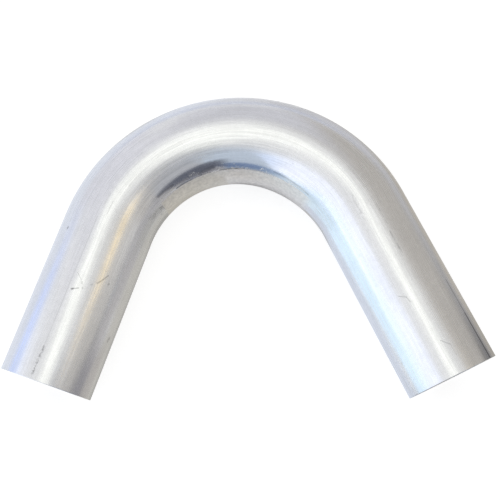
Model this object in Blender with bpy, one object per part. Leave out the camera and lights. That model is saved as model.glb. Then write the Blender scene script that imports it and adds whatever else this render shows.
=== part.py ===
# Mandrel bend: a round aluminium tube drawn round a die over a mandrel, with a straight leg at
# each end, cut off square and deburred. It lies on the ground as it would come to rest, with the
# bend level, the crown of the bend towards +Y and the legs towards -Y. The longer leg is at +X.
# Metres and degrees, +Z up. The origin is on the ground, under the middle of the part's outline.

from math import cos, pi, radians, sin

import bmesh
import bpy
from mathutils import Vector

# The tube before it is bent
tube_diameter = 0.0762
wall = 0.0020

# The bend, measured on the tube's centreline, and the straight legs past it
centreline_radius = 0.117
bend_angle = 135.0
short_leg = 0.1392
long_leg = 0.1543

# What the bending does to the section, each at its greatest, in the plane of the bend.
# The extrados is the tube's outer side in the bend, and the intrados its inner side.
extrados_flattening = 0.0004
intrados_flattening = 0.0007
intrados_drag = 0.0010
intrados_ripple = 0.0006
extrados_thinning = 0.00035
intrados_thickening = 0.00045

# The flat that deburring leaves on both edges of a cut end
deburr = 0.0003

# Facets
facets_around = 48
facets_along_bend = 40
facets_along_leg = 2

# Finish
aluminium_colour = (0.80, 0.81, 0.83, 1.0)
aluminium_roughness = 0.3


def clear_scene():
    for old in list(bpy.data.objects):
        bpy.data.objects.remove(old, do_unlink=True)


def aluminium():
    material = bpy.data.materials.new("drawn_aluminium")
    material.use_nodes = True
    surface = material.node_tree.nodes["Principled BSDF"]
    surface.inputs["Base Color"].default_value = aluminium_colour
    surface.inputs["Metallic"].default_value = 1.0
    surface.inputs["Roughness"].default_value = aluminium_roughness
    return material


def tube_radius():
    return tube_diameter / 2


def bend_station(share):
    """A place on the bend, from 0 at the short leg to 1 at the long leg. A station is a point
    of the centreline, the direction out of the bend there, and the share of the bend passed."""
    turned = radians(90.0 + bend_angle * (0.5 - share))
    outward = Vector((cos(turned), sin(turned), 0.0))
    return outward * centreline_radius, outward, share


def leg_station(share, distance):
    """A place on a straight leg, at a distance from where the leg meets the bend."""
    point, outward, share = bend_station(share)
    side = 1.0 if share > 0.5 else -1.0
    along = Vector((outward.y, -outward.x, 0.0)) * side
    return point + along * distance, outward, share


def stations():
    """Places along the tube, from just inside the short leg's cut end to just inside the
    long leg's."""
    places = []
    for step in range(facets_along_leg):
        past_cut = (short_leg - deburr) * (1.0 - step / facets_along_leg)
        places.append(leg_station(0.0, past_cut))
    for step in range(facets_along_bend + 1):
        places.append(bend_station(step / facets_along_bend))
    for step in range(facets_along_leg):
        past_bend = (long_leg - deburr) * (step + 1) / facets_along_leg
        places.append(leg_station(1.0, past_bend))
    return places


def half_width(side, share):
    """The tube's half width in the plane of the bend, towards the extrados or the intrados.
    The intrados is also dragged along the bend, which pinches its first half and swells its
    second, and keeps a long shallow ripple."""
    if side >= 0:
        return tube_radius() - extrados_flattening * sin(pi * share)
    pressed = intrados_flattening * sin(pi * share)
    dragged = intrados_drag * sin(2 * pi * share)
    rippled = intrados_ripple * sin(3 * pi * share)
    return tube_radius() - pressed - dragged + rippled


def wall_at(side, share):
    """The wall, thinned by stretching on the extrados and thickened on the intrados. Side runs
    from 1 on the extrados through 0 at the top and bottom to -1 on the intrados."""
    change = extrados_thinning if side >= 0 else intrados_thickening
    return wall - change * side * sin(pi * share)


def add_ring(mesh, station, depth=None):
    """A ring of points round the tube at a station, at a depth under its outside, or at the
    bore where no depth is given."""
    point, outward, share = station
    ring = []
    for step in range(facets_around):
        angle = 2 * pi * step / facets_around
        side = cos(angle)
        rise = sin(angle)
        inset = wall_at(side, share) if depth is None else depth
        across = half_width(side, share) * side - inset * side
        up = (tube_radius() - inset) * rise
        ring.append(mesh.verts.new(point + outward * across + Vector((0.0, 0.0, up))))
    return ring


def skin(mesh, first, second):
    """The band of faces between two neighbouring rings."""
    for step in range(facets_around):
        following = (step + 1) % facets_around
        mesh.faces.new((first[step], first[following], second[following], second[step]))


def tube_mesh():
    """The tube's whole surface, as rings that run out along the outside, over the long leg's
    cut end, back along the bore and over the short leg's cut end."""
    mesh = bmesh.new()
    places = stations()
    short_cut = leg_station(0.0, short_leg)
    long_cut = leg_station(1.0, long_leg)

    rings = [add_ring(mesh, short_cut, depth=deburr)]
    for station in places:
        rings.append(add_ring(mesh, station, depth=0.0))
    rings.append(add_ring(mesh, long_cut, depth=deburr))
    rings.append(add_ring(mesh, long_cut, depth=wall - deburr))
    for station in reversed(places):
        rings.append(add_ring(mesh, station))
    rings.append(add_ring(mesh, short_cut, depth=wall - deburr))

    for first, second in zip(rings, rings[1:] + rings[:1]):
        skin(mesh, first, second)
    bmesh.ops.recalc_face_normals(mesh, faces=mesh.faces)

    data = bpy.data.meshes.new("bent_tube")
    mesh.to_mesh(data)
    mesh.free()
    data.shade_smooth()
    data.set_sharp_from_angle(angle=radians(30.0))
    return data


def place_on_ground(tube):
    """Moves the tube so that the middle of its outline is over the origin, with the tube
    resting on the ground."""
    lengthwise = [corner.co.x for corner in tube.data.vertices]
    crosswise = [corner.co.y for corner in tube.data.vertices]
    lowest = min(corner.co.z for corner in tube.data.vertices)
    middle_x = (min(lengthwise) + max(lengthwise)) / 2
    middle_y = (min(crosswise) + max(crosswise)) / 2
    tube.location = (-middle_x, -middle_y, -lowest)


def main():
    clear_scene()
    tube = bpy.data.objects.new("bent_tube", tube_mesh())
    tube.data.materials.append(aluminium())
    bpy.context.collection.objects.link(tube)
    place_on_ground(tube)


main()
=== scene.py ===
# Looks of the mandrel bend: satin drawn aluminium with the marks of drawing, bending, sawing and
# handling, and some painted reflection and shade in its colours. Metres and degrees, in the solid's
# own frame: the bend lies level, its crown towards +Y, its longer leg at +X. A name that ends in
# _mm is in millimetres. A place on the tube is given along its centreline from the short leg's cut,
# and round it in degrees from the top: the intrados is at 90 and the extrados at -90.

from math import cos, pi, radians, sin, tan

import bpy
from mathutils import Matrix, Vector


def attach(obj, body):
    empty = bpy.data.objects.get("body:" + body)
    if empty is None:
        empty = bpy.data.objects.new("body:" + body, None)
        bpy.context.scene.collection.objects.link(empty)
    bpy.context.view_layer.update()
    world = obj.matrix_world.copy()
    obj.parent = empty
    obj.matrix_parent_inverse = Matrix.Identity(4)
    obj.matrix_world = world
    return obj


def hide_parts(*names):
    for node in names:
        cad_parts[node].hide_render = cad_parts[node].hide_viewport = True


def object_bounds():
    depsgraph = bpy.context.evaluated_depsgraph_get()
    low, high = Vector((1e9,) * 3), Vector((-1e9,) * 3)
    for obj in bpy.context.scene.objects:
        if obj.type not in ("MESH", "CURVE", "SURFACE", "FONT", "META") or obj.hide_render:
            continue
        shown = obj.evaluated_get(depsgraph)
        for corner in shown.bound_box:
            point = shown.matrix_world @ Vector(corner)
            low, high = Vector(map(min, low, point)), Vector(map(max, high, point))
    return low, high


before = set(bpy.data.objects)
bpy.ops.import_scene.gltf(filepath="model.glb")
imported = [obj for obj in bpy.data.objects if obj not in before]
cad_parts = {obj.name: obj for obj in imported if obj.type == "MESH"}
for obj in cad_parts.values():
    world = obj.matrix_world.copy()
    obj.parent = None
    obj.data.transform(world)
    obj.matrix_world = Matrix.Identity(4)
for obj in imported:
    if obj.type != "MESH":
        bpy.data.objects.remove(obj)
solid_low, solid_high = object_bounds()

# The tube, as the solid has it, but with rounded edges where the solid has flats
tube_diameter = solid_high.z - solid_low.z
wall = 0.0020
centreline_radius = 0.117
bend_angle = 135.0
short_leg = 0.1392
long_leg = 0.1543
extrados_flattening = 0.0004
intrados_flattening = 0.0007
intrados_drag = 0.0010
intrados_ripple = 0.0006
extrados_thinning = 0.00035
intrados_thickening = 0.00045
edge_rounding = 0.0003

# Fineness of the mesh
facets_around = 128
edge_steps = 3
step_in_bend = 0.0012
step_in_leg = 0.004
bore_step_in_bend = 0.004
bore_step_in_leg = 0.02

# How much of the range of a noise is used
noise_low = 0.3
noise_high = 0.7

# Drawn finish of the outside: how the draw lines change its tone and its roughness, how much the
# other patterns change its tone, what share each has in its relief, and the relief's depth and
# strength
outside_colour = (0.72, 0.725, 0.735)
line_tones = (0.955, 1.04)
line_roughnesses = (0.30, 0.24)
haze_variation = 0.03
blotch_variation = 0.02
pit_variation = 0.015
grain_variation = 0.015
fine_line_relief = 0.5
draw_line_relief = 0.8
pit_relief = 1.0
grain_relief = 0.35
outside_relief = 0.00006
outside_relief_strength = 0.25

# Rubbed streaks on the bend: where they start and end and how far their ends fade, along the tube
# and round it, and the change of tone in the darkest and the lightest
rubbed_along_mm = (150.0, 345.0, 40.0)
rubbed_turn = (8.0, 47.0, 8.0)
streak_tones = (-0.085, 0.05)

# The dull mark that the bending die pressed on the intrados: where it fades in and out along the
# tube, its edge, how far past the edge it fades out, how ragged blotches and pits make the edge,
# how its colour changes along it, how its mottling changes its tone, and how much rougher it is.
# Its beige colours, and their change along it, are partly painted reflection of the floor's shade
# under the bend.
die_fades_in_mm = (182.5, 184.5)
die_fades_out_mm = (369.0, 387.0)
die_edge = 60.6
die_edge_fade = (1.2, 3.0)
blotch_raggedness = 3.0
pit_raggedness = 1.2
die_colour_change_mm = (230.0, 330.0)
# The mark's colours: partly its own dull finish, partly painted reflection of the floor's shade under
# the bend
die_first_colour_and_painted_reflection = (0.81, 0.785, 0.735, 1.0)
die_last_colour_and_painted_reflection = (0.78, 0.735, 0.685, 1.0)
mottling_tones = (0.88, 1.10)
die_roughening = 1.9

# The band beside it that the wiper die polished: where it starts and ends along the tube and how
# far its ends fade, where it fades out round the tube, as degrees from the intrados, and how much
# smoother it is
wiped_along_mm = (183.5, 389.0, 2.0)
wiped_fades_out = (46.0, 62.0)
wiped_smoothing = 0.62

# Finish of the bore and of the cut ends. The bore's colour is darker than the outside's: painted
# shade inside the tube.
bore_colour_with_painted_shade = (0.60, 0.605, 0.61)
bore_line_tones = (0.86, 1.04)
bore_blotch_tones = (0.92, 1.03)
bore_roughnesses = (0.46, 0.38)
bore_relief = 0.00006
cut_colour = (0.72, 0.725, 0.73)
cut_line_tones = (0.88, 1.05)
cut_roughness = 0.34
cut_relief = 0.00004
inner_relief_strength = 0.6

# The share of a scratch's half width that shows in full
scratch_core = 0.3

# Strokes of the dull finish in the polished band beside the die's mark: start and end, each
# (along in millimetres, degrees from the top towards the intrados), half width in millimetres,
# how dull
die_strokes = (
    ((186.0, 56.8), (206.0, 57.0), 2.6, 0.60),
    ((206.0, 56.5), (224.0, 54.5), 1.8, 0.30),
    ((229.0, 51.5), (234.0, 52.5), 2.8, 0.60),
    ((236.5, 54.5), (239.0, 54.8), 1.8, 0.50),
    ((243.5, 35.0), (257.0, 36.0), 4.5, 0.30),
    ((260.0, 54.5), (264.5, 55.0), 2.3, 0.75),
    ((266.0, 49.5), (267.5, 49.8), 1.6, 0.60),
    ((270.0, 57.0), (271.5, 57.0), 1.3, 0.40),
    ((279.0, 51.5), (280.5, 51.8), 1.5, 0.65),
    ((277.5, 57.3), (279.0, 58.5), 1.8, 0.90),
    ((281.5, 55.0), (285.5, 56.3), 1.4, 0.55),
    ((288.0, 59.5), (289.8, 57.0), 1.5, 0.80),
    ((293.0, 57.5), (296.0, 57.0), 1.2, 0.50),
    ((310.0, 57.0), (312.5, 54.2), 1.2, 0.65),
    ((312.5, 54.2), (316.5, 54.8), 1.2, 0.65),
    ((316.5, 54.8), (318.0, 57.5), 1.2, 0.65),
    ((346.0, 59.0), (368.0, 57.0), 1.5, 0.70),
)

# Scratches, dots and lines: start and end, each (along in millimetres, degrees from the top
# towards the intrados), half width in millimetres, share of the light that is left. The lines on
# the long leg from 36 to 48 degrees towards the extrados are painted reflection of a dark line.
marks = (
    ((4.0, -2.6), (138.0, -2.3), 0.60, 0.88),
    ((76.2, 2.2), (76.6, 3.4), 1.10, 0.45),
    ((76.8, 4.0), (78.6, 9.6), 0.75, 0.66),
    ((79.2, 14.2), (80.2, 13.4), 0.70, 0.74),
    ((82.8, 11.4), (84.2, 10.6), 0.75, 0.74),
    ((85.5, 9.0), (90.0, 1.5), 0.60, 0.85),
    ((84.6, 21.6), (85.0, 23.0), 0.90, 0.80),
    ((87.6, 27.8), (89.6, 30.6), 1.00, 0.70),
    ((90.0, 31.0), (96.6, 37.2), 0.80, 0.68),
    ((90.0, 41.5), (90.8, 42.2), 1.10, 0.70),
    ((123.0, -38.6), (123.8, -38.2), 1.50, 0.58),
    ((49.0, 76.0), (51.5, 77.5), 2.20, 0.74),
    ((13.5, 24.6), (14.5, 24.8), 0.60, 0.90),
    ((10.0, 24.2), (10.6, 24.2), 0.50, 0.92),
    ((5.0, 25.0), (7.0, 25.2), 0.40, 0.93),
    ((143.0, 7.0), (152.0, 7.6), 0.50, 0.93),
    ((153.0, 7.8), (186.0, 6.0), 0.45, 0.94),
    ((201.5, -7.5), (202.5, -5.0), 0.60, 0.92),
    ((233.5, 7.0), (235.0, 12.0), 0.60, 0.94),
    ((186.0, 50.5), (207.0, 51.5), 1.60, 0.72),
    ((208.5, 59.3), (228.0, 59.8), 1.00, 0.36),
    ((228.0, 59.8), (252.0, 60.0), 0.90, 0.52),
    ((240.0, 56.5), (257.0, 52.0), 3.20, 0.80),
    ((264.0, 59.2), (284.0, 59.2), 0.80, 0.62),
    ((326.0, 54.0), (374.0, 57.0), 1.00, 0.80),
    ((262.0, 60.2), (292.0, 58.8), 0.70, 0.72),
    ((342.5, 33.5), (343.5, 33.8), 0.90, 0.88),
    ((403.0, 12.0), (412.0, 15.5), 0.50, 0.93),
    ((412.0, 15.5), (424.0, 13.5), 0.50, 0.93),
    ((447.0, -5.2), (467.0, -6.0), 0.60, 0.92),
    ((541.0, 4.2), (546.5, -3.2), 0.65, 0.76),
    ((546.5, -3.2), (556.0, -4.0), 0.60, 0.90),
    ((496.2, 22.5), (499.5, 15.0), 0.70, 0.80),
    ((499.5, 15.0), (504.0, 13.6), 0.70, 0.80),
    ((549.0, -20.5), (557.0, -20.0), 0.50, 0.93),
    # The next four lines are painted reflection of a dark line beside the long leg, darkest at the cut
    ((484.0, -47.5), (512.0, -45.0), 0.60, 0.88),
    ((500.0, -45.6), (569.5, -46.4), 0.90, 0.62),
    ((530.0, -45.8), (569.5, -46.4), 1.40, 0.62),
    ((556.0, -37.0), (569.5, -36.5), 0.70, 0.80),
    ((143.0, 7.6), (146.5, 7.8), 0.70, 0.90),
    ((147.5, 7.4), (155.0, 7.2), 0.70, 0.88),
    ((174.0, 12.5), (196.0, 11.6), 0.70, 0.91),
    ((196.0, 11.6), (235.0, 10.8), 0.60, 0.92),
    ((150.0, -1.0), (160.0, -1.4), 0.60, 0.92),
    ((190.0, 22.0), (232.0, 21.0), 0.60, 0.93),
    ((205.0, 26.5), (250.0, 25.0), 0.60, 0.92),
    ((232.0, 29.0), (262.0, 28.0), 0.60, 0.92),
)

# Rubs, which the surface's pits break up: start, end, half width, share of the light left
rubs = (
    ((4.5, -3.4), (27.0, -2.2), 1.60, 0.66),
    ((447.0, -5.6), (465.0, -5.6), 1.20, 0.80),
    ((385.0, -5.0), (440.0, -7.0), 1.20, 0.90),
    ((405.0, 13.0), (430.0, 15.0), 1.60, 0.90),
    ((185.0, 76.0), (190.0, 82.0), 2.60, 0.68),
    ((203.0, 84.0), (204.0, 92.0), 2.60, 0.68),
    ((181.0, 64.0), (183.5, 71.0), 3.00, 0.70),
    ((176.0, 68.0), (176.5, 78.0), 3.00, 0.78),
    ((163.0, 62.0), (178.0, 66.0), 4.50, 0.78),
    ((289.5, 73.5), (293.0, 74.2), 1.40, 0.80),
    ((256.5, 78.5), (260.5, 79.2), 1.60, 0.84),
    ((281.0, 64.0), (282.5, 64.2), 1.40, 0.88),
    ((254.5, 63.0), (257.5, 64.0), 1.60, 0.88),
)

# Camera, from the outline of the tube
camera_place = (0.02345, -0.18246, 0.71411)
camera_angles = (14.787, 2.148, -3.214)
camera_lens_mm = 59.83
camera_sensor_mm = 36.0

# The surround's light on what is matt, and the floor. The floor's white is part glow, which hides
# its shade, and part matt colour, which keeps it.
ambient_strength = 0.7
floor_size = 6.0
floor_gap = 0.0002
floor_glow = 0.79
floor_colour = (0.38, 0.38, 0.38, 1.0)

# Cards round the tube: name, azimuth, angle from straight up, width and height in degrees,
# softness across and up, colour
cards = (
    ("right_back_card", 34.6, 86.4, (95.0, 140.0), (0.4, 0.7), (0.58, 0.55, 0.51)),
    ("back_card", 86.8, 61.6, (49.0, 55.0), (0.4, 0.4), (0.76, 0.76, 0.81)),
    ("left_back_card", 131.0, 76.9, (37.0, 123.0), (0.4, 0.4), (0.89, 0.89, 0.95)),
    ("left_card", 180.8, 88.0, (72.0, 52.0), (0.4, 0.4), (0.81, 0.94, 1.35)),
    ("left_high_card", 182.1, 86.5, (48.0, 31.0), (0.4, 0.4), (1.28, 1.43, 1.44)),
    ("front_card", 265.7, 74.7, (71.0, 88.0), (0.4, 0.4), (0.60, 0.68, 0.79)),
    ("right_front_card", 303.1, 79.9, (63.0, 130.0), (0.4, 0.4), (0.52, 0.53, 0.56)),
    ("right_card", 336.1, 80.4, (23.0, 74.0), (0.4, 0.4), (0.63, 0.60, 0.56)),
    ("right_high_card", 22.0, 16.0, (16.0, 20.0), (0.9, 0.9), (0.80, 0.80, 0.79)),
)
card_distance = 1.5

# Lamps: name, azimuth, angle from straight up, width and height in degrees, brightness
lamps = (
    ("overhead", 281.2, 0.3, (17.8, 62.2), (0.49, 0.50, 0.42)),
    ("overhead_right", 42.0, 20.0, (10.7, 13.4), (0.16, 0.16, 0.12)),
    ("left_front", 205.8, 61.1, (79.1, 54.2), (0.30, 0.35, 0.50)),
    ("warm", 350.0, 41.6, (17.0, 15.0), (0.70, 0.44, 0.01)),
)
lamp_distance = 1.4

# Cards that lie just above the floor, each one step higher than the card before it: name, middle,
# turn, size, softness across and up, colour. They show only in reflections, and paint the floor's
# light and shade round the tube: the floor left and blue floor cards paint floor lit from the left,
# the floor right card paints the darker floor on the right, and the shade cards paint the legs'
# shadows and the tube's contact shadow on the floor.
floor_card_step = 0.0001
floor_cards = (
    ("floor_left_card", (-0.723, -0.108), 0.0, (1.60, 1.584), (0.2, 0.2), (0.94, 0.98, 1.07)),
    ("floor_front_card", (0.019, -0.503), 0.0, (0.84, 0.723), (0.4, 0.4), (0.25, 0.33, 0.46)),
    ("floor_right_card", (0.861, 0.044), 0.0, (1.65, 1.862), (0.1, 0.2), (0.53, 0.52, 0.52)),
    ("floor_back_card", (-0.080, 0.718), 0.0, (1.36, 0.835), (0.4, 0.4), (0.67, 0.72, 0.89)),
    ("crown_card", (0.180, 0.240), -16.0, (0.58, 0.240), (0.8, 0.4), (0.69, 0.69, 0.72)),
    ("left_shade_card", (-0.092, -0.027), -22.5, (0.24, 0.441), (0.4, 0.4), (0.65, 0.63, 0.58)),
    ("left_tip_shade_card", (-0.055, -0.174), -22.5, (0.14, 0.174), (0.4, 0.4), (0.56, 0.53, 0.50)),
    ("front_dark_card", (0.120, -0.290), 0.0, (0.24, 0.260), (0.3, 0.3), (0.13, 0.13, 0.17)),
    ("right_shade_card", (0.190, -0.053), 22.5, (0.22, 0.445), (0.4, 0.4), (0.58, 0.54, 0.48)),
    ("blue_floor_card", (0.072, -0.048), 22.5, (0.13, 0.333), (0.4, 0.4), (0.81, 0.86, 0.97)),
    # From here down: painted shadow of the tube on the floor beside and under it
    ("right_edge_shade_card", (0.157, -0.013), 22.5, (0.08, 0.400), (0.4, 0.4), (0.58, 0.56, 0.54)),
    ("left_under_shade_card", (-0.105, -0.043), -22.5, (0.05, 0.200), (0.6, 0.2), (0.44, 0.43, 0.40)),
    ("bend_under_shade_card", (-0.053, 0.039), 40.0, (0.10, 0.045), (0.3, 0.5), (0.42, 0.41, 0.38)),
    ("bend_under_right_shade_card", (0.058, 0.027), -52.0, (0.07, 0.035), (0.4, 0.5), (0.58, 0.58, 0.58)),
    ("right_tip_shade_card", (0.245, -0.080), 22.5, (0.07, 0.120), (0.6, 0.6), (0.47, 0.44, 0.39)),
    ("bend_shade_card", (0.024, 0.057), -24.0, (0.07, 0.045), (0.4, 0.4), (0.10, 0.10, 0.11)),
)

# Cards that stand on edge near the tube, and show only on the side away from their azimuth: name,
# azimuth, distance from the middle that way, shift sideways, height of the card's middle, size,
# softness across and up, colour. The divider cards split the floor between the legs as each leg
# reflects it: the one at azimuth 180 paints it lit and bluish for the long leg, and those at
# azimuth 0 paint it in the short leg's shade.
standing_cards = (
    ("near_left_card", 270.0, 0.450, -0.176, 0.043, (0.55, 0.182), (0.2, 0.05), (0.19, 0.27, 0.45)),
    ("near_right_card", 270.0, 0.448, 0.328, 0.091, (0.73, 0.353), (0.2, 0.2), (0.13, 0.14, 0.18)),
    ("near_far_right_card", 270.0, 0.446, 0.870, 0.055, (0.56, 0.259), (0.2, 0.2), (0.45, 0.44, 0.43)),
    ("right_line_card", 22.5, 0.250, -0.250, 0.038, (0.40, 0.140), (0.9, 0.8), (0.12, 0.12, 0.13)),
    # Painted light and shade of the floor between the legs, each card seen by one leg only
    ("divider_right_card", 180.0, -0.005, 0.181, 0.031, (0.42, 0.092), (0.2, 0.2), (1.00, 1.22, 1.41)),
    ("divider_left_card", 0.0, -0.005, -0.116, 0.021, (0.21, 0.066), (0.1, 0.2), (0.52, 0.51, 0.50)),
    ("divider_tip_card", 0.0, -0.006, -0.091, 0.025, (0.16, 0.073), (0.2, 0.2), (0.58, 0.56, 0.56)),
    ("divider_end_card", 0.0, -0.007, -0.172, 0.030, (0.12, 0.100), (0.6, 0.3), (0.34, 0.33, 0.35)),
    ("divider_bend_card", 0.0, -0.008, 0.024, 0.011, (0.08, 0.062), (0.1, 0.2), (0.50, 0.49, 0.47)),
    ("right_leg_card", 0.0, 0.050, -0.010, 0.030, (0.10, 0.100), (0.2, 0.2), (0.52, 0.51, 0.52)),
)

mm = 0.001
tube_radius = tube_diameter / 2
bend_length = radians(bend_angle) * centreline_radius
tube_length = short_leg + bend_length + long_leg
mm_per_degree = radians(1.0) * tube_radius / mm


def station(distance):
    """A place on the tube, at a distance from the short leg's cut: the point of the centreline,
    the direction out of the bend there, and the share of the bend passed."""
    share = min(max((distance - short_leg) / bend_length, 0.0), 1.0)
    turned = radians(90.0 + bend_angle * (0.5 - share))
    outward = Vector((cos(turned), sin(turned), 0.0))
    forward = Vector((outward.y, -outward.x, 0.0))
    past = distance - short_leg - share * bend_length
    return outward * centreline_radius + forward * past, outward, share


def half_width(side, share):
    """The tube's half width in the plane of the bend, as the bending left it."""
    if side >= 0:
        return tube_radius - extrados_flattening * sin(pi * share)
    pressed = intrados_flattening * sin(pi * share)
    dragged = intrados_drag * sin(2 * pi * share)
    rippled = intrados_ripple * sin(3 * pi * share)
    return tube_radius - pressed - dragged + rippled


def wall_at(side, share):
    """The wall, thinned on the extrados and thickened on the intrados."""
    change = extrados_thinning if side >= 0 else intrados_thickening
    return wall - change * side * sin(pi * share)


def ring(distance, depth=None):
    """The points of a ring round the tube, at a depth under its outside, or at the bore where
    no depth is given, and the same points on the tube as it was before it was bent."""
    point, outward, share = station(distance)
    bent = []
    straight = []
    for step in range(facets_around):
        angle = 2 * pi * step / facets_around
        side = cos(angle)
        rise = sin(angle)
        inset = wall_at(side, share) if depth is None else depth
        across = (half_width(side, share) - inset) * side
        up = (tube_radius - inset) * rise
        bent.append(point + outward * across + Vector((0.0, 0.0, up)))
        straight.append((across, up, distance))
    return bent, straight


def distances(first, last, leg_step, bend_step):
    """Distances along the tube from first to last, closer together in the bend, with one close
    to each end so that the rounded edges don't bend the light on the legs."""
    stretches = (
        (first, short_leg, leg_step),
        (short_leg, short_leg + bend_length, bend_step),
        (short_leg + bend_length, last, leg_step),
    )
    places = [first, first + edge_rounding]
    for start, end, step in stretches:
        count = round((end - start) / step)
        for number in range(1, count + 1):
            places.append(start + (end - start) * number / count)
    places.insert(-1, last - edge_rounding)
    return places


def tube_rings():
    """Rings over the tube's whole surface, each with the material of the band that follows it:
    along the outside, over the long leg's cut end, back along the bore and over the short
    leg's cut end."""
    first = edge_rounding
    last = tube_length - edge_rounding
    rings = []
    for distance in distances(first, last, step_in_leg, step_in_bend):
        rings.append((ring(distance, 0.0), "outside"))
    rings[-1] = (rings[-1][0], "cut")
    rings += cut_end(last, 1)
    for distance in reversed(distances(first, last, bore_step_in_leg, bore_step_in_bend)):
        rings.append((ring(distance), "bore"))
    rings[-1] = (rings[-1][0], "cut")
    rings += cut_end(first, -1)
    return rings


def cut_end(distance, direction):
    """The rings of a cut end, with rounded edges. The long leg's end is met from the outside
    inwards, and the short leg's from the bore outwards."""
    depths = []
    for step in range(1, edge_steps + 1):
        angle = pi / 2 * step / edge_steps
        depths.append((sin(angle), 1 - cos(angle)))
    outer = [(reach, fall * edge_rounding) for reach, fall in depths]
    inner = [(reach, wall - fall * edge_rounding) for reach, fall in reversed(depths)]
    profile = outer + inner
    if direction < 0:
        profile.reverse()
    rings = []
    for reach, depth in profile:
        rings.append((ring(distance + direction * reach * edge_rounding, depth), "cut"))
    return rings


def tube_mesh(materials):
    """The tube's mesh. It carries each point's place on the unbent tube, for the materials."""
    rings = tube_rings()
    count = len(rings)
    corners = []
    before = []
    faces = []
    kinds = []
    for (bent, straight), _ in rings:
        corners += bent
        before += straight
    for number, (_, kind) in enumerate(rings):
        this = number * facets_around
        following = (number + 1) % count * facets_around
        for step in range(facets_around):
            beside = (step + 1) % facets_around
            faces.append((this + step, this + beside, following + beside, following + step))
            kinds.append(list(materials).index(kind))
    data = bpy.data.meshes.new("drawn_tube")
    data.from_pydata(corners, [], faces)
    data.polygons.foreach_set("material_index", kinds)
    layer = data.attributes.new("unbent", "FLOAT_VECTOR", "POINT")
    layer.data.foreach_set("vector", [value for point in before for value in point])
    for material in materials.values():
        data.materials.append(material)
    data.update()
    data.shade_smooth()
    return data


class Recipe:
    """Adds nodes to a material. Each method gives back the output that carries its result, and
    takes numbers or outputs of other nodes."""

    def __init__(self, name):
        self.material = bpy.data.materials.new(name)
        self.material.use_nodes = True
        self.tree = self.material.node_tree
        self.surface = self.tree.nodes["Principled BSDF"]

    def feed(self, socket, value):
        if isinstance(value, bpy.types.NodeSocket):
            self.tree.links.new(value, socket)
        else:
            socket.default_value = value

    def math(self, operation, *values):
        node = self.tree.nodes.new("ShaderNodeMath")
        node.operation = operation
        for socket, value in zip(node.inputs, values):
            self.feed(socket, value)
        return node.outputs["Value"]

    def product(self, first, *others):
        for other in others:
            first = self.math("MULTIPLY", first, other)
        return first

    def vector_math(self, operation, *values):
        node = self.tree.nodes.new("ShaderNodeVectorMath")
        node.operation = operation
        for socket, value in zip(node.inputs, values):
            self.feed(socket, value)
        return node

    def stretched(self, vector, factors):
        return self.vector_math("MULTIPLY", vector, factors).outputs["Vector"]

    def scaled(self, vector, factor):
        node = self.vector_math("SCALE", vector)
        self.feed(node.inputs["Scale"], factor)
        return node.outputs["Vector"]

    def attribute(self, name):
        node = self.tree.nodes.new("ShaderNodeAttribute")
        node.attribute_name = name
        return node.outputs["Vector"]

    def parts(self, vector):
        node = self.tree.nodes.new("ShaderNodeSeparateXYZ")
        self.feed(node.inputs["Vector"], vector)
        return node.outputs["X"], node.outputs["Y"], node.outputs["Z"]

    def joined(self, x, y, z):
        node = self.tree.nodes.new("ShaderNodeCombineXYZ")
        for socket, value in zip(node.inputs, (x, y, z)):
            self.feed(socket, value)
        return node.outputs["Vector"]

    def noise(self, vector, scale, detail, roughness):
        node = self.tree.nodes.new("ShaderNodeTexNoise")
        self.feed(node.inputs["Vector"], vector)
        node.inputs["Scale"].default_value = scale
        node.inputs["Detail"].default_value = detail
        node.inputs["Roughness"].default_value = roughness
        return node.outputs["Fac"]

    def drawn(self, unbent, along, scale, detail, roughness):
        """Noise on the unbent tube, drawn out along it where along is under 1."""
        return self.noise(self.stretched(unbent, (1.0, 1.0, along)), scale, detail, roughness)

    def rise(self, value, low, high, bottom=0.0, top=1.0):
        """A smooth rise from bottom, where value is low, to top, where it is high."""
        node = self.tree.nodes.new("ShaderNodeMapRange")
        node.interpolation_type = "SMOOTHSTEP"
        for socket, number in zip(node.inputs, (value, low, high, bottom, top)):
            self.feed(socket, number)
        return node.outputs["Result"]

    def spread(self, pattern, bottom, top):
        """A noise, brought to the range from bottom to top."""
        return self.rise(pattern, noise_low, noise_high, bottom, top)

    def between(self, value, low, high, soft):
        """1 where value is between low and high, with edges that fade over a width."""
        entered = self.rise(value, low - soft / 2, low + soft / 2)
        left = self.rise(value, high - soft / 2, high + soft / 2, 1.0, 0.0)
        return self.product(entered, left)

    def mix(self, share, first, second):
        """One colour blended into another. The colours' sockets share their names with those of
        numbers and vectors, so they are picked by their place."""
        node = self.tree.nodes.new("ShaderNodeMix")
        node.data_type = "RGBA"
        self.feed(node.inputs["Factor"], share)
        self.feed(node.inputs[6], first)
        self.feed(node.inputs[7], second)
        return node.outputs[2]

    def bump(self, height, distance, strength):
        node = self.tree.nodes.new("ShaderNodeBump")
        self.feed(node.inputs["Height"], height)
        node.inputs["Distance"].default_value = distance
        node.inputs["Strength"].default_value = strength
        return node.outputs["Normal"]

    def scratch(self, place, start, end, width):
        """1 along a scratch from start to end, both (along in millimetres, degrees from the
        top), with edges that fade out at its half width."""
        start = round_tube(start)
        run = round_tube(end) - start
        offset = self.vector_math("SUBTRACT", place, start).outputs["Vector"]
        along = self.vector_math("DOT_PRODUCT", offset, run.normalized()).outputs["Value"]
        along = self.math("MINIMUM", self.math("MAXIMUM", along, 0.0), run.length)
        nearest = self.scaled(run.normalized(), along)
        gap = self.vector_math("DISTANCE", offset, nearest).outputs["Value"]
        return self.rise(gap, width * scratch_core, width, 1.0, 0.0)


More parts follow.
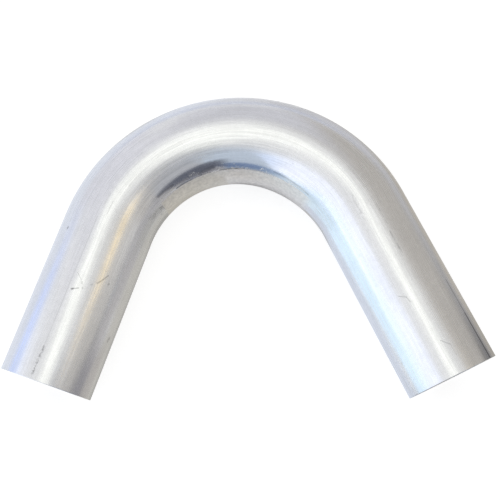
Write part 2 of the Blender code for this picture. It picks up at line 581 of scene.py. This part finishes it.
def outside_aluminium():
    """The tube's outside: drawn aluminium, with the bending die's mark on the intrados."""
    recipe = Recipe("outside_aluminium")
    unbent = recipe.attribute("unbent")
    across, up, along = recipe.parts(unbent)
    along_mm = recipe.math("MULTIPLY", along, 1 / mm)
    inward = recipe.math("MULTIPLY", across, -1.0)
    turn = recipe.math("DEGREES", recipe.math("ARCTAN2", inward, up))
    place = recipe.joined(along_mm, recipe.math("MULTIPLY", turn, mm_per_degree), 0.0)

    draw_lines = recipe.drawn(unbent, along=0.03, scale=900.0, detail=3.0, roughness=0.6)
    fine_lines = recipe.drawn(unbent, along=0.12, scale=1800.0, detail=2.0, roughness=0.6)
    hazes = recipe.drawn(unbent, along=0.35, scale=55.0, detail=3.0, roughness=0.55)
    blotches = recipe.drawn(unbent, along=1.6, scale=170.0, detail=3.0, roughness=0.6)
    pits = recipe.drawn(unbent, along=0.7, scale=620.0, detail=3.0, roughness=0.65)
    grain = recipe.noise(unbent, scale=1500.0, detail=2.0, roughness=0.6)
    streaks = recipe.drawn(unbent, along=0.02, scale=480.0, detail=2.0, roughness=0.5)
    mottling = recipe.drawn(unbent, along=0.6, scale=380.0, detail=4.0, roughness=0.75)
    pressed, wiped = die_marks(recipe, along_mm, turn, place, pits, blotches)

    tone = recipe.spread(draw_lines, *line_tones)
    for pattern, variation in (
        (hazes, haze_variation),
        (blotches, blotch_variation),
        (pits, pit_variation),
        (grain, grain_variation),
    ):
        tone = recipe.product(tone, recipe.spread(pattern, 1.0 - variation, 1.0 + variation))
    rubbed = recipe.product(
        recipe.between(along_mm, *rubbed_along_mm),
        recipe.between(turn, *rubbed_turn),
    )
    darkest, lightest = streak_tones
    streaks = recipe.rise(streaks, low=0.32, high=0.68, bottom=darkest, top=lightest)
    tone = recipe.product(tone, recipe.math("ADD", recipe.product(streaks, rubbed), 1.0))
    tone = recipe.product(tone, marks_and_painted_reflections(recipe, place, pits))
    colour = recipe.scaled(outside_colour, tone)
    # The die's dull mark, in a beige colour that also paints the reflection of the floor's shade under
    # the bend
    passed = recipe.rise(along_mm, *die_colour_change_mm)
    matte_and_painted_reflection = recipe.mix(passed, die_first_colour_and_painted_reflection, die_last_colour_and_painted_reflection)
    matte_and_painted_reflection = recipe.scaled(matte_and_painted_reflection, recipe.spread(mottling, *mottling_tones))
    recipe.feed(recipe.surface.inputs["Base Color"], recipe.mix(pressed, colour, matte_and_painted_reflection))

    roughness = recipe.spread(draw_lines, *line_roughnesses)
    smoother = recipe.rise(wiped, 0.0, 1.0, 1.0, wiped_smoothing)
    duller = recipe.rise(pressed, 0.0, 1.0, 1.0, die_roughening)
    recipe.feed(recipe.surface.inputs["Roughness"], recipe.product(roughness, smoother, duller))
    recipe.surface.inputs["Metallic"].default_value = 1.0
    height = recipe.math("MULTIPLY", fine_lines, fine_line_relief)
    for pattern, share in (
        (draw_lines, draw_line_relief),
        (pits, pit_relief),
        (grain, grain_relief),
    ):
        height = recipe.math("MULTIPLY_ADD", pattern, share, height)
    relief = recipe.bump(height, outside_relief, outside_relief_strength)
    recipe.feed(recipe.surface.inputs["Normal"], relief)
    return recipe.material


def die_marks(recipe, along_mm, turn, place, pits, blotches):
    """Masks of the dull patch where the bending die pressed, and of the band beside it that the
    wiper die polished. Strokes of the dull finish are left in the band, along a ragged edge."""
    off_intrados = recipe.math("ABSOLUTE", recipe.math("SUBTRACT", turn, 90.0))
    ragged = recipe.math("MULTIPLY_ADD", blotches, blotch_raggedness, off_intrados)
    ragged = recipe.math("MULTIPLY_ADD", pits, pit_raggedness, ragged)
    beyond = recipe.math("SUBTRACT", ragged, 90.0 - die_edge)
    pressed = recipe.product(
        recipe.rise(along_mm, *die_fades_in_mm),
        recipe.rise(along_mm, *die_fades_out_mm, 1.0, 0.0),
        recipe.rise(beyond, *die_edge_fade, 1.0, 0.0),
    )
    for start, end, width, dullness in die_strokes:
        stroke = recipe.product(
            recipe.scratch(place, start, end, width),
            recipe.rise(pits, low=0.38, high=0.54, bottom=1.0, top=0.4),
            dullness,
        )
        pressed = recipe.math("MAXIMUM", pressed, stroke)
    wiped = recipe.product(
        recipe.between(along_mm, *wiped_along_mm),
        recipe.rise(off_intrados, *wiped_fades_out, 1.0, 0.0),
        recipe.math("SUBTRACT", 1.0, pressed),
    )
    return pressed, wiped


def round_tube(spot):
    """A place (along in millimetres, degrees from the top) on the tube's surface as if it was
    rolled out flat, in millimetres."""
    return Vector((spot[0], spot[1] * mm_per_degree, 0.0))


def marks_and_painted_reflections(recipe, place, pits):
    """How much light is left on the scratches, dots, lines and rubs, and on the painted reflection
    of a dark line along the long leg: 1 where there is none."""
    left = 1.0
    for start, end, width, light in marks:
        mark = recipe.scratch(place, start, end, width)
        left = recipe.product(left, recipe.math("MULTIPLY_ADD", mark, light - 1.0, 1.0))
    for start, end, width, light in rubs:
        mark = recipe.product(
            recipe.scratch(place, start, end, width),
            recipe.rise(pits, low=0.42, high=0.56, bottom=1.0, top=0.0),
        )
        left = recipe.product(left, recipe.math("MULTIPLY_ADD", mark, light - 1.0, 1.0))
    return left


def bore_aluminium():
    """The bore: duller drawn aluminium with the mandrel's drag lines, in a darker colour that
    paints the shade inside it.
    """
    recipe = Recipe("bore_aluminium")
    unbent = recipe.attribute("unbent")
    drag_lines = recipe.drawn(unbent, along=0.02, scale=700.0, detail=3.0, roughness=0.6)
    blotches = recipe.drawn(unbent, along=0.4, scale=60.0, detail=3.0, roughness=0.5)
    tone = recipe.product(
        recipe.spread(drag_lines, *bore_line_tones),
        recipe.spread(blotches, *bore_blotch_tones),
    )
    relief = recipe.bump(drag_lines, bore_relief, inner_relief_strength)
    recipe.feed(recipe.surface.inputs["Base Color"], recipe.scaled(bore_colour_with_painted_shade, tone))
    recipe.surface.inputs["Metallic"].default_value = 1.0
    recipe.feed(recipe.surface.inputs["Roughness"], recipe.spread(blotches, *bore_roughnesses))
    recipe.feed(recipe.surface.inputs["Normal"], relief)
    return recipe.material


def cut_aluminium():
    """The cut ends: bright metal with the saw's fine parallel lines."""
    recipe = Recipe("cut_aluminium")
    unbent = recipe.attribute("unbent")
    across_cut = recipe.stretched(unbent, (1.0, 0.02, 0.0))
    saw_lines = recipe.noise(across_cut, scale=2400.0, detail=2.0, roughness=0.6)
    tone = recipe.spread(saw_lines, *cut_line_tones)
    relief = recipe.bump(saw_lines, cut_relief, inner_relief_strength)
    recipe.feed(recipe.surface.inputs["Base Color"], recipe.scaled(cut_colour, tone))
    recipe.surface.inputs["Metallic"].default_value = 1.0
    recipe.surface.inputs["Roughness"].default_value = cut_roughness
    recipe.feed(recipe.surface.inputs["Normal"], relief)
    return recipe.material


def make_tube():
    materials = {
        "outside": outside_aluminium(),
        "bore": bore_aluminium(),
        "cut": cut_aluminium(),
    }
    tube = bpy.data.objects.new("drawn_tube", tube_mesh(materials))
    bpy.context.scene.collection.objects.link(tube)
    middle = (solid_low + solid_high) / 2
    lengthwise = [corner.co.x for corner in tube.data.vertices]
    crosswise = [corner.co.y for corner in tube.data.vertices]
    lowest = min(corner.co.z for corner in tube.data.vertices)
    tube.location.x = middle.x - (min(lengthwise) + max(lengthwise)) / 2
    tube.location.y = middle.y - (min(crosswise) + max(crosswise)) / 2
    tube.location.z = solid_low.z - lowest
    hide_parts("bent_tube")
    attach(tube, "root")


def seen_share(tree):
    """1 for what the camera sees, also by reflection or through glass, and 0 for other light."""
    path = tree.nodes.new("ShaderNodeLightPath")
    seen = path.outputs["Is Camera Ray"]
    for kind in ("Is Glossy Ray", "Is Transmission Ray"):
        either = tree.nodes.new("ShaderNodeMath")
        either.operation = "MAXIMUM"
        tree.links.new(seen, either.inputs[0])
        tree.links.new(path.outputs[kind], either.inputs[1])
        seen = either.outputs["Value"]
    return seen


def white_world():
    """A white surround, which lights what is matt at a plain level."""
    world = bpy.data.worlds.new("studio")
    bpy.context.scene.world = world
    world.use_nodes = True
    tree = world.node_tree
    background = tree.nodes["Background"]
    background.inputs["Color"].default_value = (1.0, 1.0, 1.0, 1.0)
    strength = tree.nodes.new("ShaderNodeMapRange")
    tree.links.new(seen_share(tree), strength.inputs["Value"])
    strength.inputs["To Min"].default_value = ambient_strength
    strength.inputs["To Max"].default_value = 1.0
    tree.links.new(strength.outputs["Result"], background.inputs["Strength"])


def sheet_of(name, width, depth):
    """A flat rectangle, in the scene but not part of the object, and its empty material."""
    data = bpy.data.meshes.new(name)
    x = width / 2
    y = depth / 2
    corners = [(-x, -y, 0), (x, -y, 0), (x, y, 0), (-x, y, 0)]
    data.from_pydata(corners, [], [(0, 1, 2, 3)])
    thing = bpy.data.objects.new(name, data)
    bpy.context.scene.collection.objects.link(thing)
    material = bpy.data.materials.new(name)
    material.use_nodes = True
    material.node_tree.nodes.clear()
    data.materials.append(material)
    return thing, material.node_tree


def white_floor():
    """A white floor, which keeps a faint shadow under the tube."""
    floor, tree = sheet_of("floor", floor_size, floor_size)
    floor.location.z = solid_low.z - floor_gap
    matt = tree.nodes.new("ShaderNodeBsdfDiffuse")
    matt.inputs["Color"].default_value = floor_colour
    glow = tree.nodes.new("ShaderNodeEmission")
    tree.links.new(seen_share(tree), glow.inputs["Strength"])
    glow.inputs["Color"].default_value = (floor_glow, floor_glow, floor_glow, 1.0)
    both = tree.nodes.new("ShaderNodeAddShader")
    tree.links.new(matt.outputs["BSDF"], both.inputs[0])
    tree.links.new(glow.outputs["Emission"], both.inputs[1])
    output = tree.nodes.new("ShaderNodeOutputMaterial")
    tree.links.new(both.outputs["Shader"], output.inputs["Surface"])


def towards(azimuth, from_zenith):
    """A direction: azimuth from +X towards +Y, and the angle from straight up."""
    azimuth = radians(azimuth)
    from_zenith = radians(from_zenith)
    level = sin(from_zenith)
    return Vector((cos(azimuth) * level, sin(azimuth) * level, cos(from_zenith)))


def face_tube(thing, azimuth, from_zenith, distance):
    """Puts a thing at a distance from the tube, with its own -Z towards it."""
    direction = towards(azimuth, from_zenith)
    thing.location = Vector((0.0, 0.0, tube_radius)) + direction * distance
    thing.rotation_euler = direction.to_track_quat("Z", "Y").to_euler()


def lamp(name, azimuth, from_zenith, size, brightness):
    """A round area lamp. Its brightness is what a mirror would show of it, in each colour."""
    data = bpy.data.lights.new(name, "AREA")
    data.shape = "ELLIPSE"
    data.size = size[0]
    data.size_y = size[1]
    area = pi / 4 * size[0] * size[1]
    data.energy = max(brightness) * pi * area
    data.color = [channel / max(brightness) for channel in brightness]
    thing = bpy.data.objects.new(name, data)
    bpy.context.scene.collection.objects.link(thing)
    face_tube(thing, azimuth, from_zenith, lamp_distance)


def card(name, size, colour, soft, one_sided=False):
    """A card that shows only in reflections, with edges that fade over shares of its half width
    and half height. A one-sided card shows only on the side of its own -Z."""
    thing, tree = sheet_of(name, *size)
    place = tree.nodes.new("ShaderNodeTexCoord")
    parts = tree.nodes.new("ShaderNodeSeparateXYZ")
    tree.links.new(place.outputs["Object"], parts.inputs["Vector"])
    shares = []
    for axis, extent, fade in zip("XY", size, soft):
        away = tree.nodes.new("ShaderNodeMath")
        away.operation = "ABSOLUTE"
        tree.links.new(parts.outputs[axis], away.inputs[0])
        share = tree.nodes.new("ShaderNodeMapRange")
        share.interpolation_type = "SMOOTHSTEP"
        tree.links.new(away.outputs["Value"], share.inputs["Value"])
        share.inputs["From Min"].default_value = extent / 2 * (1 - fade)
        share.inputs["From Max"].default_value = extent / 2
        share.inputs["To Min"].default_value = 1.0
        share.inputs["To Max"].default_value = 0.0
        shares.append(share.outputs["Result"])
    cover = tree.nodes.new("ShaderNodeMath")
    cover.operation = "MULTIPLY"
    for socket, share in zip(cover.inputs, shares):
        tree.links.new(share, socket)
    cover = cover.outputs["Value"]
    if one_sided:
        side = tree.nodes.new("ShaderNodeNewGeometry")
        facing = tree.nodes.new("ShaderNodeMath")
        facing.operation = "MULTIPLY"
        tree.links.new(cover, facing.inputs[0])
        tree.links.new(side.outputs["Backfacing"], facing.inputs[1])
        cover = facing.outputs["Value"]
    clear = tree.nodes.new("ShaderNodeBsdfTransparent")
    glow = tree.nodes.new("ShaderNodeEmission")
    glow.inputs["Color"].default_value = (*colour, 1.0)
    mix = tree.nodes.new("ShaderNodeMixShader")
    tree.links.new(cover, mix.inputs["Fac"])
    tree.links.new(clear.outputs["BSDF"], mix.inputs[1])
    tree.links.new(glow.outputs["Emission"], mix.inputs[2])
    output = tree.nodes.new("ShaderNodeOutputMaterial")
    tree.links.new(mix.outputs["Shader"], output.inputs["Surface"])
    for ray in ("visible_camera", "visible_diffuse", "visible_transmission", "visible_shadow"):
        setattr(thing, ray, False)
    return thing


def spans(distance, angles):
    """The sizes that take up these angles at a distance."""
    return [2 * distance * tan(radians(angle / 2)) for angle in angles]


def studio():
    white_world()
    white_floor()
    for name, azimuth, from_zenith, angles, brightness in lamps:
        lamp(name, azimuth, from_zenith, spans(lamp_distance, angles), brightness)
    for name, azimuth, from_zenith, angles, soft, colour in cards:
        thing = card(name, spans(card_distance, angles), colour, soft)
        face_tube(thing, azimuth, from_zenith, card_distance)
    for number, (name, (x, y), turn, size, soft, colour) in enumerate(floor_cards):
        thing = card(name, size, colour, soft)
        thing.location = (x, y, solid_low.z + floor_card_step * (number + 1))
        thing.rotation_euler.z = radians(turn)
    for name, azimuth, distance, sideways, height, size, soft, colour in standing_cards:
        thing = card(name, size, colour, soft, one_sided=True)
        thing.rotation_euler = (radians(90.0), 0.0, radians(azimuth + 90.0))
        away = towards(azimuth, 90.0) * distance
        beside = towards(azimuth + 90.0, 90.0) * sideways
        thing.location = away + beside + Vector((0.0, 0.0, height))


def make_camera():
    data = bpy.data.cameras.new("camera")
    data.lens = camera_lens_mm
    data.sensor_width = camera_sensor_mm
    data.sensor_fit = "HORIZONTAL"
    camera = bpy.data.objects.new("camera", data)
    camera.location = camera_place
    camera.rotation_euler = [radians(angle) for angle in camera_angles]
    bpy.context.scene.collection.objects.link(camera)
    bpy.context.scene.camera = camera


make_tube()
studio()
make_camera()
bpy.context.scene.view_settings.view_transform = "Standard"
